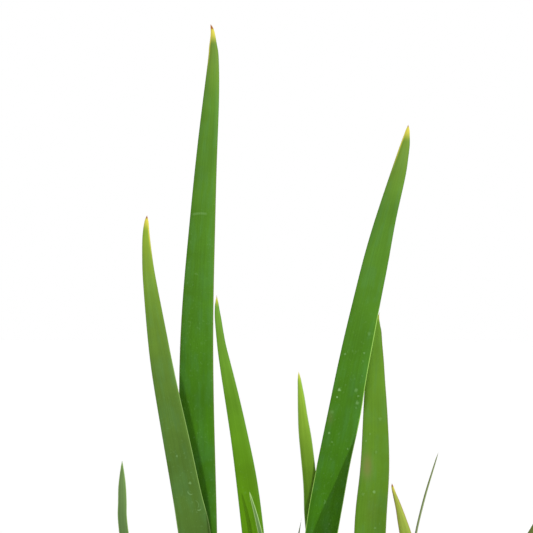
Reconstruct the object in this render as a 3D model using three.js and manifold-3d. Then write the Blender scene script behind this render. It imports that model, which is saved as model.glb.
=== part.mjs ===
// A potted clump of Siberian iris: fans of sword-shaped leaves in a plain round nursery pot.
// Millimetres, +Z up. The origin is the centre of the pot's flat underside, and the front is -Y.
import * as THREE from 'three';
import { mergeVertices } from 'three/addons/utils/BufferGeometryUtils.js';
import Module from 'manifold-3d';

// Pot
const POT_HEIGHT = 165;
const RIM_RADIUS = 82.5;
const RIM_HEIGHT = 12;
const FOOT_RADIUS = 61;
const SHOULDER_RADIUS = 79;
const POT_WALL = 1.8;
const POT_FLOOR = 2.2;
const POT_CHAMFER = 2;
const RIM_ROUND = 1.5;
const POT_SIDES = 40;
const DRAIN_RADIUS = 6;
const DRAIN_CIRCLE = 44;
const DRAIN_COUNT = 4;

// Soil and the rhizomes that sit half sunk in it
const TOUCH_GAP = 0.3;
const SOIL_TOP = 147;
const SOIL_SIDES = 32;
const SOIL_LUMP = 0.9;
const SOIL_EDGE_DROP = 2;
const LUMP_TURN_X = 0.17;
const LUMP_TURN_Y = 0.21;
const RHIZOME_TOP = SOIL_TOP + 3;
const RHIZOME_HALF_LENGTH = 11;
const RHIZOME_HALF_WIDTH = 8;
const RHIZOME_DEPTH = 11;
const RHIZOME_SIDES = 10;

// Leaves
const BLADE_HALF = 0.5;
const FOOT_EXTRA = 0.7;
const FOOT_FADE = 46;
const FOLD_GAP = 0.4;
const FOLD_WALL = 0.5;
const FOLD_WALL_EXTRA = 0.3;
const FOLD_CORNER = 0.9;
const KEEL_AT_FOOT = 1.3;
const MARGIN_AT_FOOT = -2;
const MARGIN_CLEAR = 1;
const EDGE_BEVEL = 1.6;
const BEVEL_SHARE = 0.3;
const THICK_SHARE = 0.2;
const OUTER_FULLNESS = 2.2;
const OUTER_CURVE = 1.3;
const OUTER_FOOT_SHARE = 0.4;
const OUTER_FOLDED_SHARE = 0.85;
const OUTER_TIP_STEPS = [0.4, 0.7, 0.9, 1];
const LEAF_FOOT = RHIZOME_TOP + TOUCH_GAP;
const FOLD_LEVELS = [0, 14, 30, 46, 62, 80];
const FOLD_TOP = 80;

// Each fan: turn is the direction of its flat side in degrees, and twist is how far its middle leaf turns
// between the folded foot and the tip. A row of the middle leaf is [height, x, y, width].
// An outer leaf is on one side of the middle one, is folded up to the height free above the rhizome,
// and then stands clear of it, with its tip at height, spread outwards and moved back or forward. It curves
// outwards by OUTER_CURVE, or by a curve of its own, where 1 is straight.
const FANS = [
  {
    name: 'a', turn: 5, twist: -6,
    rows: [
      [150.3, -44, 15, 7.5], [200, -46.5, 13, 12], [240, -48.2, 11.5, 15.5], [274, -49.5, 11, 17.2],
      [305.5, -50.6, 12, 17.8], [341, -51.4, 13, 17.6], [381, -51, 14, 16.2], [421.5, -49, 16, 13.7],
      [462.5, -46.5, 18, 10.7], [493, -44.2, 20, 8.2], [513.5, -43, 21, 5.5], [519.5, -43.1, 21.4, 4.4],
      [524, -43.2, 21.6, 3], [527.5, -43.4, 21.8, 2], [530, -43.9, 21.9, 1.2], [531.6, -44.5, 22, 0],
    ],
    outer: [
      { side: -1, free: 62, width: 10, height: 110, spread: 8, back: -3 },
      { side: 1, free: 46, width: 9, height: 100, spread: 10, back: 2 },
    ],
    drySheath: { side: -1, free: 30, width: 5, height: 44, spread: 3, back: 0 },
  },
  {
    name: 'b', turn: -4, twist: 5,
    rows: [
      [150.3, -34, -5, 7.5], [200, -41.5, -3, 11], [240, -47.5, 0, 14.5], [275, -52.1, 2, 16.5],
      [291.5, -55.3, 1, 15], [316.5, -60.1, 0, 13.8], [341.5, -65.1, 0, 12.3], [361.5, -68.7, -1, 11],
      [381.5, -71.7, -1, 9], [401.5, -74.4, -2, 6.6], [411.5, -75.4, -2.2, 5.3], [421.5, -76, -2.5, 4],
      [427.8, -76, -2.8, 2.8], [431.6, -75.8, -2.9, 1.6], [433.9, -75.5, -3, 0],
    ],
    outer: [
      { side: 1, free: 62, width: 9, height: 106, spread: 9, back: -4 },
      { side: -1, free: 46, width: 8.5, height: 88, spread: 6, back: -2 },
    ],
  },
  {
    name: 'c', turn: 6, twist: -5,
    rows: [
      [150.3, -9, -14, 7], [200, -14, -15, 9.5], [240.5, -18.8, -15.6, 10.8], [277.1, -22.7, -15.4, 10.9],
      [303, -25.9, -14.6, 10.4], [322.5, -29.1, -14.2, 8.9], [342.2, -32.8, -13.8, 7.4],
      [361.9, -36.8, -13.2, 5.4], [371.8, -38.6, -12.9, 4.1], [381.8, -39.9, -12.6, 3.3],
      [386.7, -40.4, -12.4, 2.4], [390.6, -40.6, -12.3, 1.5], [394.2, -40.7, -12.2, 0],
    ],
    outer: [
      { side: -1, free: 62, width: 9, height: 104, spread: 8, back: -2 },
      { side: 1, free: 46, width: 8, height: 96, spread: 9, back: -3 },
    ],
  },
  {
    name: 'd', turn: -14, twist: 8,
    rows: [
      [150.3, -60, -14, 6.5], [200, -72, -11, 6.5], [240, -81.5, -8, 6], [275.8, -86.9, -7, 4.9],
      [288.3, -87.6, -7.4, 4.5], [296.6, -87.7, -7.7, 4.1], [300.7, -87.7, -7.8, 3.5],
      [304.8, -87.7, -7.9, 2.5], [308.6, -87.7, -8, 1.3], [312, -87.7, -8, 0],
    ],
    outer: [
      { side: 1, free: 46, width: 7, height: 92, spread: 6, back: -3 },
    ],
  },
  {
    name: 'e', turn: 12, twist: -8,
    rows: [
      [150.3, 6, -37, 6], [200, -3.6, -34, 6], [241.5, -11.3, -27, 4.8], [262, -15.6, -23, 3.3],
      [277.4, -19.1, -21, 2.2], [287.2, -21.5, -20.2, 1.7], [292.4, -23, -19.8, 1.2],
      [295.6, -23.9, -19.6, 0.8], [297.6, -24.4, -19.5, 0],
    ],
    outer: [
      { side: 1, free: 46, width: 7.5, height: 105, spread: 9, back: -5 },
      { side: -1, free: 30, width: 7, height: 82, spread: 6, back: -3 },
    ],
    drySheath: { side: 1, free: 30, width: 5, height: 42, spread: 4, back: 0 },
  },
  {
    name: 'f', turn: -3, twist: 3,
    rows: [
      [150.3, 24, 21, 6.5], [200, 18, 17, 7.5], [240, 12, 13.4, 7.6], [274, 7.5, 10.7, 7.4],
      [290.8, 6.4, 7.9, 7.2], [303.5, 5.5, 6.2, 6.8], [321.2, 3.6, 4.9, 6.4], [331.2, 2.4, 4.3, 5.1],
      [341.3, 1.5, 3.9, 3.7], [347.5, 0.9, 3.7, 2.5], [352.5, 0.4, 3.6, 1.4], [355.8, 0, 3.5, 0],
    ],
    outer: [
      { side: 1, free: 62, width: 8, height: 110, spread: 10, back: 3 },
    ],
  },
  {
    name: 'g', turn: 3, twist: 4,
    rows: [
      [150.3, -4, 8, 8], [200, 1.5, 8.5, 12], [240, 6.8, 9.3, 15.5], [274, 11.7, 8.8, 16.6],
      [290.9, 14.4, 6.5, 17], [311.2, 18.1, 4, 16.7], [331.5, 22.3, 0.5, 16.9], [351.5, 25.9, -1, 15.9],
      [371.6, 29.9, -3, 15.2], [391.6, 34.1, -4, 14], [411.5, 38.5, -5, 12.9], [431.4, 43.1, -7, 10.6],
      [451.2, 48.5, -9, 8.4], [461, 50.9, -10, 6.6], [468.4, 52.6, -10.8, 4.9], [473.5, 53.5, -11.4, 2.9],
      [476.5, 54, -11.8, 1.5], [478.5, 54.2, -12, 0],
    ],
    outer: [
      { side: 1, free: 62, width: 10, height: 108, spread: 6, back: -4 },
      { side: -1, free: 46, width: 9, height: 96, spread: 8, back: 3 },
    ],
  },
  {
    name: 'h', turn: -8, twist: -4,
    rows: [
      [150.3, 34, -26, 7.5], [200, 34.4, -23.5, 11], [240.6, 34.6, -19.5, 14.5], [277, 35.1, -14, 15.8],
      [302.2, 37.4, -8.2, 14.9], [321.8, 38.3, -3, 13.5], [341.4, 38.5, 2.8, 11.5],
      [351.2, 38.7, 5.4, 9.8], [361.1, 39.1, 7.8, 8], [371.1, 39.3, 10.4, 6], [378, 39.9, 13.4, 3.6],
      [385.2, 41.4, 16.5, 0],
    ],
    outer: [
      { side: -1, free: 62, width: 9, height: 108, spread: 6, back: -5 },
      { side: 1, free: 46, width: 9, height: 98, spread: 9, back: -2 },
    ],
    drySheath: { side: -1, free: 30, width: 5, height: 46, spread: 3, back: 0 },
  },
  {
    name: 'i', turn: 4, twist: 0,
    rows: [
      [150.3, 61, 0, 7], [200, 62, 0, 8], [240, 58, 0, 7.5], [265, 55, 0, 6.8], [275.5, 53.3, 0, 5.9],
      [281.5, 51.8, 0, 4.8], [286.5, 50.5, 0, 3.6], [291.5, 49, 0, 2.6], [295.5, 47.7, 0, 1.7],
      [298.2, 47, 0, 1.1], [299.9, 46.6, 0, 0],
    ],
    outer: [
      { side: 1, free: 46, width: 12, height: 150, spread: 71, curve: 1.05, back: -4 },
      { side: -1, free: 30, width: 7, height: 84, spread: 6, back: -3 },
    ],
  },
  {
    name: 'j', turn: 80, twist: 0,
    rows: [
      [150.3, 48, 25, 6], [200, 52.5, 24.5, 7], [240, 56.5, 24, 6], [262, 59, 24, 4.6],
      [273.1, 60.4, 24, 3.5], [284.3, 62.9, 23, 3], [294.5, 65.6, 22.5, 2.6], [304.7, 68.7, 22, 2],
      [310.5, 70.5, 22, 1.4], [314.2, 71.7, 22, 0],
    ],
    outer: [
      { side: 1, free: 46, width: 7, height: 96, spread: 8, back: -4 },
    ],
  },
  {
    name: 'k', turn: 68, twist: 0,
    rows: [
      [150.3, 2, 40, 5], [200, -0.8, 35, 5], [240, -2.2, 30, 3.6], [262, -0.8, 27.5, 2.2],
      [272, 0.6, 26.6, 1.5], [280.2, 2, 26, 0],
    ],
    outer: [
      { side: 1, free: 46, width: 6.5, height: 90, spread: 7, back: 2 },
    ],
  },
  {
    name: 'l', turn: 38, twist: 10,
    rows: [
      [150.3, -22, 42, 6.5], [200, -25, 45, 8], [235, -28, 48.5, 5.5], [247, -29.3, 50, 3], [254, -30, 51, 0],
    ],
    outer: [
      { side: 1, free: 46, width: 8, height: 88, spread: 8, back: 2 },
      { side: -1, free: 30, width: 7, height: 72, spread: 6, back: 0 },
    ],
  },
  {
    name: 'm', turn: -32, twist: -8,
    rows: [
      [150.3, -22, -42, 6.5], [200, -25, -46, 8], [232, -28, -49.5, 5.4], [244, -29.3, -51, 3],
      [251, -30, -52, 0],
    ],
    outer: [
      { side: 1, free: 46, width: 8, height: 92, spread: 8, back: -2 },
      { side: -1, free: 30, width: 7, height: 76, spread: 6, back: 0 },
    ],
  },
];

const MATERIALS = {
  pot: new THREE.MeshStandardMaterial({ color: 0x1c1d1e, roughness: 0.55 }),
  soil: new THREE.MeshStandardMaterial({ color: 0x3b2c22, roughness: 0.95 }),
  rhizome: new THREE.MeshStandardMaterial({ color: 0x7a5f40, roughness: 0.85 }),
  middleLeaf: new THREE.MeshStandardMaterial({ color: 0x52852d, roughness: 0.45 }),
  outerLeaf: new THREE.MeshStandardMaterial({ color: 0x6d9a35, roughness: 0.45 }),
  drySheath: new THREE.MeshStandardMaterial({ color: 0xa98a5c, roughness: 0.8 }),
};

const wasm = await Module();
wasm.setup();

// Shared vertices are merged and the triangles that this closes up are dropped
function weld(geometry) {
  geometry.deleteAttribute('normal');
  geometry.deleteAttribute('uv');
  const welded = mergeVertices(geometry, 1e-3);
  const kept = [];
  for (let i = 0; i < welded.index.count; i += 3) {
    const corners = [0, 1, 2].map((step) => welded.index.getX(i + step));
    if (new Set(corners).size === 3) kept.push(...corners);
  }
  welded.setIndex(kept);
  return welded;
}

function toSolid(geometry) {
  const welded = weld(geometry);
  return new wasm.Manifold(new wasm.Mesh({
    numProp: 3,
    vertProperties: new Float32Array(welded.attributes.position.array),
    triVerts: new Uint32Array(welded.index.array),
  }));
}

function fromSolid(solid) {
  const mesh = solid.getMesh();
  const geometry = new THREE.BufferGeometry();
  geometry.setAttribute('position', new THREE.BufferAttribute(mesh.vertProperties, 3));
  geometry.setIndex([...mesh.triVerts]);
  return geometry;
}

// A profile of [radius, height] turned round the vertical axis
function turned(profile, sides) {
  const geometry = new THREE.LatheGeometry(profile.map(([r, z]) => new THREE.Vector2(r, z)), sides);
  return geometry.rotateX(Math.PI / 2);
}

function addMesh(group, name, geometry, material) {
  geometry.computeVertexNormals();
  const mesh = new THREE.Mesh(geometry, material);
  mesh.name = name;
  group.add(mesh);
}

const wallRadius = (z) => FOOT_RADIUS + (SHOULDER_RADIUS - FOOT_RADIUS) * (z / (POT_HEIGHT - RIM_HEIGHT));
const insideRadius = (z) => wallRadius(z) - POT_WALL;

function potGeometry() {
  const shoulder = POT_HEIGHT - RIM_HEIGHT;
  const lip = insideRadius(POT_HEIGHT);
  let pot = toSolid(turned([
    [0, 0], [FOOT_RADIUS - POT_CHAMFER, 0], [wallRadius(POT_CHAMFER), POT_CHAMFER],
    [wallRadius(shoulder - 1), shoulder - 1],
    [RIM_RADIUS, shoulder], [RIM_RADIUS, POT_HEIGHT - RIM_ROUND], [RIM_RADIUS - RIM_ROUND, POT_HEIGHT],
    [lip + RIM_ROUND / 2, POT_HEIGHT], [lip, POT_HEIGHT - RIM_ROUND / 2],
    [insideRadius(POT_FLOOR), POT_FLOOR], [0, POT_FLOOR],
  ], POT_SIDES));
  for (let i = 0; i < DRAIN_COUNT; i += 1) {
    const angle = (i + 0.5) * (2 * Math.PI / DRAIN_COUNT);
    const drill = new THREE.CylinderGeometry(DRAIN_RADIUS, DRAIN_RADIUS, 4 * POT_FLOOR, 12);
    drill.rotateX(Math.PI / 2);
    drill.translate(DRAIN_CIRCLE * Math.cos(angle), DRAIN_CIRCLE * Math.sin(angle), 0);
    pot = pot.subtract(toSolid(drill));
  }
  return fromSolid(pot);
}

// The rhizome's oval body, as [share of its radius, height from its top], longer along its fan than across it
const RHIZOME_PROFILE = [
  [0, -RHIZOME_DEPTH], [0.7, -RHIZOME_DEPTH + 1.5], [1, -3.5], [0.97, -1.2], [0.84, 0], [0, 0],
];

function placeRhizome(profile, fan) {
  const [, x, y] = fan.rows[0];
  const geometry = turned(profile, RHIZOME_SIDES);
  geometry.scale(RHIZOME_HALF_LENGTH, RHIZOME_HALF_WIDTH, 1);
  geometry.rotateZ(THREE.MathUtils.degToRad(fan.turn));
  return geometry.translate(x, y, RHIZOME_TOP);
}

// The hollow that the rhizome leaves in the soil, with clearance all round, and open at the top
function pocketGeometry(fan) {
  const grow = TOUCH_GAP / RHIZOME_HALF_WIDTH;
  const below = RHIZOME_PROFILE.slice(0, 3).map(([share, z]) => [share && share + grow, z - TOUCH_GAP]);
  return placeRhizome([...below, [1 + grow, RHIZOME_DEPTH], [0, RHIZOME_DEPTH]], fan);
}

function soilGeometry() {
  const bottom = POT_FLOOR + TOUCH_GAP;
  const edgeTop = SOIL_TOP - SOIL_EDGE_DROP;
  const edge = insideRadius(edgeTop) - TOUCH_GAP;
  const geometry = turned([
    [0, bottom], [insideRadius(bottom) - TOUCH_GAP, bottom], [edge, edgeTop],
    [0.9 * edge, SOIL_TOP - 0.5], [0.65 * edge, SOIL_TOP], [0.35 * edge, SOIL_TOP], [0, SOIL_TOP],
  ], SOIL_SIDES);
  const place = geometry.attributes.position;
  for (let i = 0; i < place.count; i += 1) {
    const [x, y, z] = [place.getX(i), place.getY(i), place.getZ(i)];
    const lump = SOIL_LUMP * Math.sin(x * LUMP_TURN_X + 1) * Math.cos(y * LUMP_TURN_Y);
    if (z > edgeTop) place.setZ(i, z + lump);
  }
  let soil = toSolid(geometry);
  for (const fan of FANS) soil = soil.subtract(toSolid(pocketGeometry(fan)));
  return fromSolid(soil);
}

// The middle leaf's x, y and width at a height, on a smooth curve through its rows
function readRows(rows, z) {
  const last = rows.length - 1;
  let i = 0;
  while (i < last - 1 && rows[i + 1][0] < z) i += 1;
  const [z0, z1] = [rows[i][0], rows[i + 1][0]];
  const span = z1 - z0;
  const t = THREE.MathUtils.clamp((z - z0) / span, 0, 1);
  const slope = (at, column) => {
    const before = rows[Math.max(at - 1, 0)];
    const after = rows[Math.min(at + 1, last)];
    return (after[column] - before[column]) / (after[0] - before[0]);
  };
  const [x, y, width] = [1, 2, 3].map((column) => {
    const [p0, p1] = [rows[i][column], rows[i + 1][column]];
    const [m0, m1] = [slope(i, column) * span, slope(i + 1, column) * span];
    return (2 * t ** 3 - 3 * t ** 2 + 1) * p0 + (t ** 3 - 2 * t ** 2 + t) * m0
      + (3 * t ** 2 - 2 * t ** 3) * p1 + (t ** 3 - t ** 2) * m1;
  });
  return { x, y, width };
}

const footFade = (level) => Math.max(0, 1 - level / FOOT_FADE);

// A leaf gives, at a level above the rhizome, the places of its keel and margin along the fan, measured
// from the fan's middle, the offset across the fan, and half its thickness there
function middleLeaf(fan) {
  const tip = fan.rows[fan.rows.length - 1][0] - LEAF_FOOT;
  const half = (level) => readRows(fan.rows, LEAF_FOOT + level).width / 2;
  return {
    side: 1,
    free: 0,
    tip,
    keel: half,
    margin: (level) => -half(level),
    back: () => 0,
    thick: (level) => BLADE_HALF + FOOT_EXTRA * footFade(level),
    levels: [
      ...FOLD_LEVELS.filter((level) => level < tip),
      ...fan.rows.map(([z]) => z - LEAF_FOOT).filter((level) => level > FOLD_TOP),
    ],
  };
}

// How far the leaves inside reach on one side, at a level
function innerEdge(inner, side, level) {
  const there = inner.filter((leaf) => level < leaf.tip);
  return Math.max(...there.map((leaf) => Math.max(side * leaf.keel(level), side * leaf.margin(level))));
}

function innerDepth(inner, level) {
  return Math.max(...inner.filter((leaf) => level < leaf.tip).map((leaf) => leaf.depth(level)));
}

function outerLeaf(spec, inner) {
  const { side, free, width, height, spread, back, curve = OUTER_CURVE } = spec;
  const keelFoot = innerEdge(inner, side, 0) + FOLD_GAP + KEEL_AT_FOOT;
  const marginFree = innerEdge(inner, side, free) + FOLD_GAP + MARGIN_CLEAR;
  const above = (level) => Math.max(0, (level - free) / (height - free));
  const middleFree = marginFree + width / 2;
  const halfWidth = (level) => (width / 2) * (1 - above(level) ** OUTER_FULLNESS);
  const place = (level, edgeFoot, edgeFree, sign) => {
    if (level < free) return side * THREE.MathUtils.lerp(edgeFoot, edgeFree, level / free);
    return side * (middleFree + spread * above(level) ** curve + sign * halfWidth(level));
  };
  const folded = FOLD_LEVELS.filter((level) => level < height * OUTER_FOLDED_SHARE);
  const last = folded[folded.length - 1];
  return {
    side,
    free,
    tip: height,
    keel: (level) => place(level, keelFoot, marginFree + width, 1),
    margin: (level) => place(level, MARGIN_AT_FOOT, marginFree, -1),
    back: (level) => back * above(level) ** 2,
    thick: (level) => BLADE_HALF + OUTER_FOOT_SHARE * FOOT_EXTRA * footFade(level),
    levels: [...folded, ...OUTER_TIP_STEPS.map((part) => THREE.MathUtils.lerp(last, height, part))],
  };
}

// A leaf's section at a level: a flat lens from keel to margin where the leaf is free, and below that
// a fold whose two arms pass in front of and behind the leaves inside it
function section(leaf, inner, level) {
  const keel = leaf.side * leaf.keel(level);
  const margin = leaf.side * leaf.margin(level);
  const width = keel - margin;
  const thick = Math.min(leaf.thick(level), width * THICK_SHARE);
  if (level >= leaf.free) {
    const bevel = Math.min(EDGE_BEVEL, width * BEVEL_SHARE);
    const body = [keel - bevel, thick];
    const front = [body, body, [margin + bevel, thick], [margin, 0]];
    return { keel, front, fold: Array(3).fill([margin, 0]) };
  }
  const notch = innerEdge(inner, leaf.side, level) + FOLD_GAP;
  const inside = innerDepth(inner, level) + FOLD_GAP;
  const outside = inside + FOLD_WALL + FOLD_WALL_EXTRA * footFade(level);
  const corner = Math.max(notch - FOLD_CORNER, margin + 0.2);
  return {
    keel,
    front: [
      [keel - Math.min(EDGE_BEVEL, (keel - notch) * 0.5), thick],
      [notch + 0.2, thick * 1.1], [corner, outside], [margin, outside],
    ],
    fold: [[margin, inside], [corner, inside], [notch, 0]],
  };
}

// The section's outline, once round: front half, fold, then the same mirrored to the other side
function outline(leaf, inner, level) {
  const { keel, front, fold } = section(leaf, inner, level);
  const half = [...front, ...fold.slice(0, 2)];
  const mirrored = half.map(([along, across]) => [along, -across]).reverse();
  const points = [[keel, 0], ...half, fold[2], ...mirrored];
  const sided = points.map(([along, across]) => [leaf.side * along, across]);
  return leaf.side > 0 ? sided : sided.reverse();
}

function leafGeometry(fan, leaf, inner) {
  const tipHeight = LEAF_FOOT + leaf.tip;
  const twistFrom = LEAF_FOOT + FOLD_TOP;
  const rings = leaf.levels.map((level) => {
    const z = LEAF_FOOT + level;
    const { x, y } = readRows(fan.rows, z);
    const twisted = THREE.MathUtils.clamp((z - twistFrom) / (tipHeight - twistFrom), 0, 1) * fan.twist;
    const angle = THREE.MathUtils.degToRad(fan.turn + twisted);
    const [cos, sin] = [Math.cos(angle), Math.sin(angle)];
    return outline(leaf, inner, level).map(([along, across]) => {
      const offset = across + leaf.back(level);
      return new THREE.Vector3(x + along * cos - offset * sin, y + along * sin + offset * cos, z);
    });
  });
  const count = rings[0].length;
  const faces = [];
  for (let ring = 0; ring < rings.length - 1; ring += 1) {
    for (let i = 0; i < count; i += 1) {
      const [a, b] = [ring * count + i, ring * count + (i + 1) % count];
      faces.push(a, b, b + count, a, b + count, a + count);
    }
  }
  const foot = rings[0].map((point) => new THREE.Vector2(point.x, point.y));
  const corners = foot.map((point, i) => i).filter((i) => foot[i].distanceTo(foot[(i + 1) % count]) > 1e-3);
  for (const [a, b, c] of THREE.ShapeUtils.triangulateShape(corners.map((i) => foot[i]), [])) {
    faces.push(corners[a], corners[c], corners[b]);
  }
  const geometry = new THREE.BufferGeometry().setFromPoints(rings.flat());
  geometry.setIndex(faces);
  return weld(geometry);
}

function addFan(group, fan) {
  addMesh(group, `rhizome_${fan.name}`, placeRhizome(RHIZOME_PROFILE, fan), MATERIALS.rhizome);
  const inner = [];
  const place = (leaf, name, material) => {
    const around = [...inner];
    addMesh(group, name, leafGeometry(fan, leaf, around), material);
    inner.push({ ...leaf, depth: (level) => depthAt(leaf, around, level) });
  };
  place(middleLeaf(fan), `leaf_${fan.name}1`, MATERIALS.middleLeaf);
  fan.outer.forEach((spec, i) => {
    place(outerLeaf(spec, inner), `leaf_${fan.name}${i + 2}`, MATERIALS.outerLeaf);
  });
  if (fan.drySheath) place(outerLeaf(fan.drySheath, inner), `dry_sheath_${fan.name}`, MATERIALS.drySheath);
}

// Half the thickness of the fan out to this leaf, at a level
function depthAt(leaf, inner, level) {
  const { front } = section(leaf, inner, level);
  return Math.max(...front.map(([, across]) => across));
}

const iris = new THREE.Group();
addMesh(iris, 'pot', potGeometry(), MATERIALS.pot);
addMesh(iris, 'soil', soilGeometry(), MATERIALS.soil);
for (const fan of FANS) addFan(iris, fan);

export default iris;
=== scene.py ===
# A potted clump of Siberian iris. Metres, +Z up, and the front is -Y.
import math
import random

import bpy
import numpy as np
from mathutils import Euler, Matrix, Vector, noise
from mathutils.interpolate import poly_3d_calc


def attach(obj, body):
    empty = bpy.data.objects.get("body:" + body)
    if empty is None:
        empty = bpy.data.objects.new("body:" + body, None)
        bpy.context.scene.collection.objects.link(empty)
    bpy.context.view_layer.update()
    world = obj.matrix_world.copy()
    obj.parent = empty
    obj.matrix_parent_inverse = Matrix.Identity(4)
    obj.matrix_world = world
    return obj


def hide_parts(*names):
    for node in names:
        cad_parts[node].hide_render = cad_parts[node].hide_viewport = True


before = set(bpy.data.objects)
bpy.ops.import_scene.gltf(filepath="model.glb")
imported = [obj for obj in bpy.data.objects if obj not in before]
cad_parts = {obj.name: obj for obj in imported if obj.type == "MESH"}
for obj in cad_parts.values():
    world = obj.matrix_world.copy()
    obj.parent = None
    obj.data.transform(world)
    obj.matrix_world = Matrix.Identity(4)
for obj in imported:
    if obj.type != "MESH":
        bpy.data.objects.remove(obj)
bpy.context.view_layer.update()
MM = 0.001

# Camera: level with the leaves and straight in front, through a long lens, so that only the upper part
# of the clump is in the picture, as in the photograph. Its focal length is in pixels of a 533 pixel frame.
CAMERA_PLACE = (-16 * MM, -1200 * MM, 408.25 * MM)
FOCAL_PIXELS = 2400
FRAME_PIXELS = 533
SENSOR_WIDTH = 36

bpy.ops.object.camera_add(location=CAMERA_PLACE, rotation=(math.radians(90), 0, 0))
camera = bpy.context.object
camera.name = "camera"
camera.data.sensor_width = SENSOR_WIDTH
camera.data.lens = SENSOR_WIDTH * FOCAL_PIXELS / FRAME_PIXELS
bpy.context.scene.camera = camera

# Pot: a round tapered nursery pot, injection moulded in thin black polypropylene. Its rim is turned out
# and down into a stiff band, its base stands on a ring, and four drain holes are punched in the base.
POT_SIDES = 144
# Radius and height in millimetres, out from the axis and up the outside, then down the inside
POT_OUTSIDE = [
    (0, 0.7), (50, 0.7), (52.5, 0.35), (53.5, 0), (59.2, 0), (60.3, 0.5), (61.1, 1.4), (61.4, 3.4),
    (65.2, 35), (70.1, 77), (75.06, 119.4), (75.3, 120.2), (75.75, 120.8), (75.9, 122), (78.95, 151),
    (79.2, 154), (79.55, 157.5), (80.4, 158.2), (81, 157.5), (81, 153.6), (81.3, 153.1), (82, 153),
    (82.4, 153.3), (82.5, 154), (82.5, 162.6), (82.3, 163.9), (81.7, 164.7), (80.9, 165),
]
POT_INSIDE = [(79.4, 165), (78.85, 164.8), (78.6, 164.2), (59.6, 3.6), (59, 2.6), (57.8, 2.2), (0, 2.2)]
DRAIN_RADIUS = 6 * MM
DRAIN_CIRCLE = 44 * MM
DRAIN_ANGLES = (45, 135, 225, 315)
DRAIN_SIDES = 32
DRILL_LENGTH = 12 * MM
DRILL_MIDDLE = 1.5 * MM
SMOOTH_ANGLE = math.radians(32)
MERGE_GAP = 0.005 * MM


def pick(*things):
    bpy.ops.object.select_all(action="DESELECT")
    for thing in things:
        thing.select_set(True)
    bpy.context.view_layer.objects.active = things[0]


def spun(name, profile, sides):
    """A profile of (radius, height) in millimetres, from axis to axis, spun into a closed shape."""
    mesh = bpy.data.meshes.new(name)
    steps = [(i, i + 1) for i in range(len(profile) - 1)]
    mesh.from_pydata([(radius * MM, 0, height * MM) for radius, height in profile], steps, [])
    piece = bpy.data.objects.new(name, mesh)
    bpy.context.collection.objects.link(piece)
    pick(piece)
    bpy.ops.object.mode_set(mode="EDIT")
    bpy.ops.mesh.select_all(action="SELECT")
    bpy.ops.mesh.spin(steps=sides, angle=2 * math.pi, center=(0, 0, 0), axis=(0, 0, 1))
    bpy.ops.mesh.select_all(action="SELECT")
    bpy.ops.mesh.remove_doubles(threshold=MERGE_GAP)
    bpy.ops.mesh.normals_make_consistent(inside=False)
    bpy.ops.object.mode_set(mode="OBJECT")
    return piece


def linear(code):
    """An sRGB hex colour as the linear colour that a socket takes."""
    parts = [int(code[i : i + 2], 16) / 255 for i in (1, 3, 5)]
    return (*(c / 12.92 if c <= 0.04045 else ((c + 0.055) / 1.055) ** 2.4 for c in parts), 1.0)


def add_node(tree, kind, inputs=None, stops=None, **settings):
    """Adds one node, sets it, and fills its sockets: a socket given is linked, and a value is set.
    The stops of a colour ramp are its first, its last, and then any between them."""
    made = tree.nodes.new(kind)
    for name, value in settings.items():
        setattr(made, name, value)
    for place, value in (inputs or {}).items():
        if isinstance(value, bpy.types.NodeSocket):
            tree.links.new(value, made.inputs[place])
        else:
            made.inputs[place].default_value = value
    for i, (place, code) in enumerate(stops or []):
        elements = made.color_ramp.elements
        element = elements[i] if i < 2 else elements.new(place)
        element.position = place
        element.color = linear(code)
    return made


def new_material(name):
    """A new material, its node tree and its Principled shader."""
    material = bpy.data.materials.new(name)
    material.use_nodes = True
    return material, material.node_tree, material.node_tree.nodes["Principled BSDF"]


pot = spun("nursery_pot", POT_OUTSIDE + POT_INSIDE, POT_SIDES)
drills = []
for angle in DRAIN_ANGLES:
    turn = math.radians(angle)
    place = (DRAIN_CIRCLE * math.cos(turn), DRAIN_CIRCLE * math.sin(turn), DRILL_MIDDLE)
    bpy.ops.mesh.primitive_cylinder_add(
        vertices=DRAIN_SIDES, radius=DRAIN_RADIUS, depth=DRILL_LENGTH, location=place
    )
    drills.append(bpy.context.object)
pick(*drills)
bpy.ops.object.join()
pick(pot)
punch = pot.modifiers.new("punch", "BOOLEAN")
punch.operation = "DIFFERENCE"
punch.object = drills[0]
punch.solver = "EXACT"
bpy.ops.object.modifier_apply(modifier=punch.name)
bpy.data.objects.remove(drills[0])
bpy.ops.object.shade_smooth_by_angle(angle=SMOOTH_ANGLE)

# Black polypropylene as it leaves the mould: a soft sheen with a fine orange-peel grain, dulled by handling,
# with a film of dried compost low down and under the rim. A pattern on a piece's own coordinates, here and
# below, has one over its size in metres as its scale: the grain is about 0.7 mm, worn patches are 18 mm, and
# scuffs are 25 mm long round the pot and 1.6 mm high.
PEEL_SCALE = 1400.0
WEAR_SCALE = 55.0
SCUFF_SCALE = (40, 40, 620)
LOW_FILM_TOP = 30 * MM
RIM_FILM_FROM = 132 * MM
RIM_FILM_FULL = 154 * MM

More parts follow.
